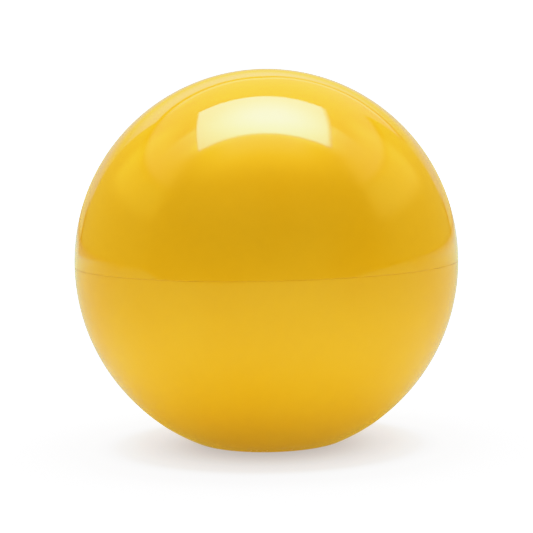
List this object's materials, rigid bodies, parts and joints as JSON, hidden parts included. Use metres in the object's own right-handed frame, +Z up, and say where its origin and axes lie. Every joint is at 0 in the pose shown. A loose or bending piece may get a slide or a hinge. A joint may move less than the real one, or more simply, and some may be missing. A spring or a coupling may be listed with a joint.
{
  "type": "joystick ball top",
  "caption": "Glossy ball knob with a hairline seam round its widest point, a small flat foot and a blind threaded insert for a joystick lever.",
  "frame": {"origin": "centre of the flat foot, on the thread's axis", "axes": "+Z runs up the thread's axis from the foot to the crown of the ball; X and Y lie in the foot's plane"},
  "size_m": [0.035, 0.035, 0.0338],
  "materials": {
    "shell_plastic": "gloss",
    "core_plastic": "satin",
    "insert_brass": "satin"
  },
  "bodies": {
    "root": {"upper_shell": "shell_plastic", "lower_shell": "shell_plastic", "core": "core_plastic", "threaded_insert": "insert_brass"}
  },
  "joints": []
}
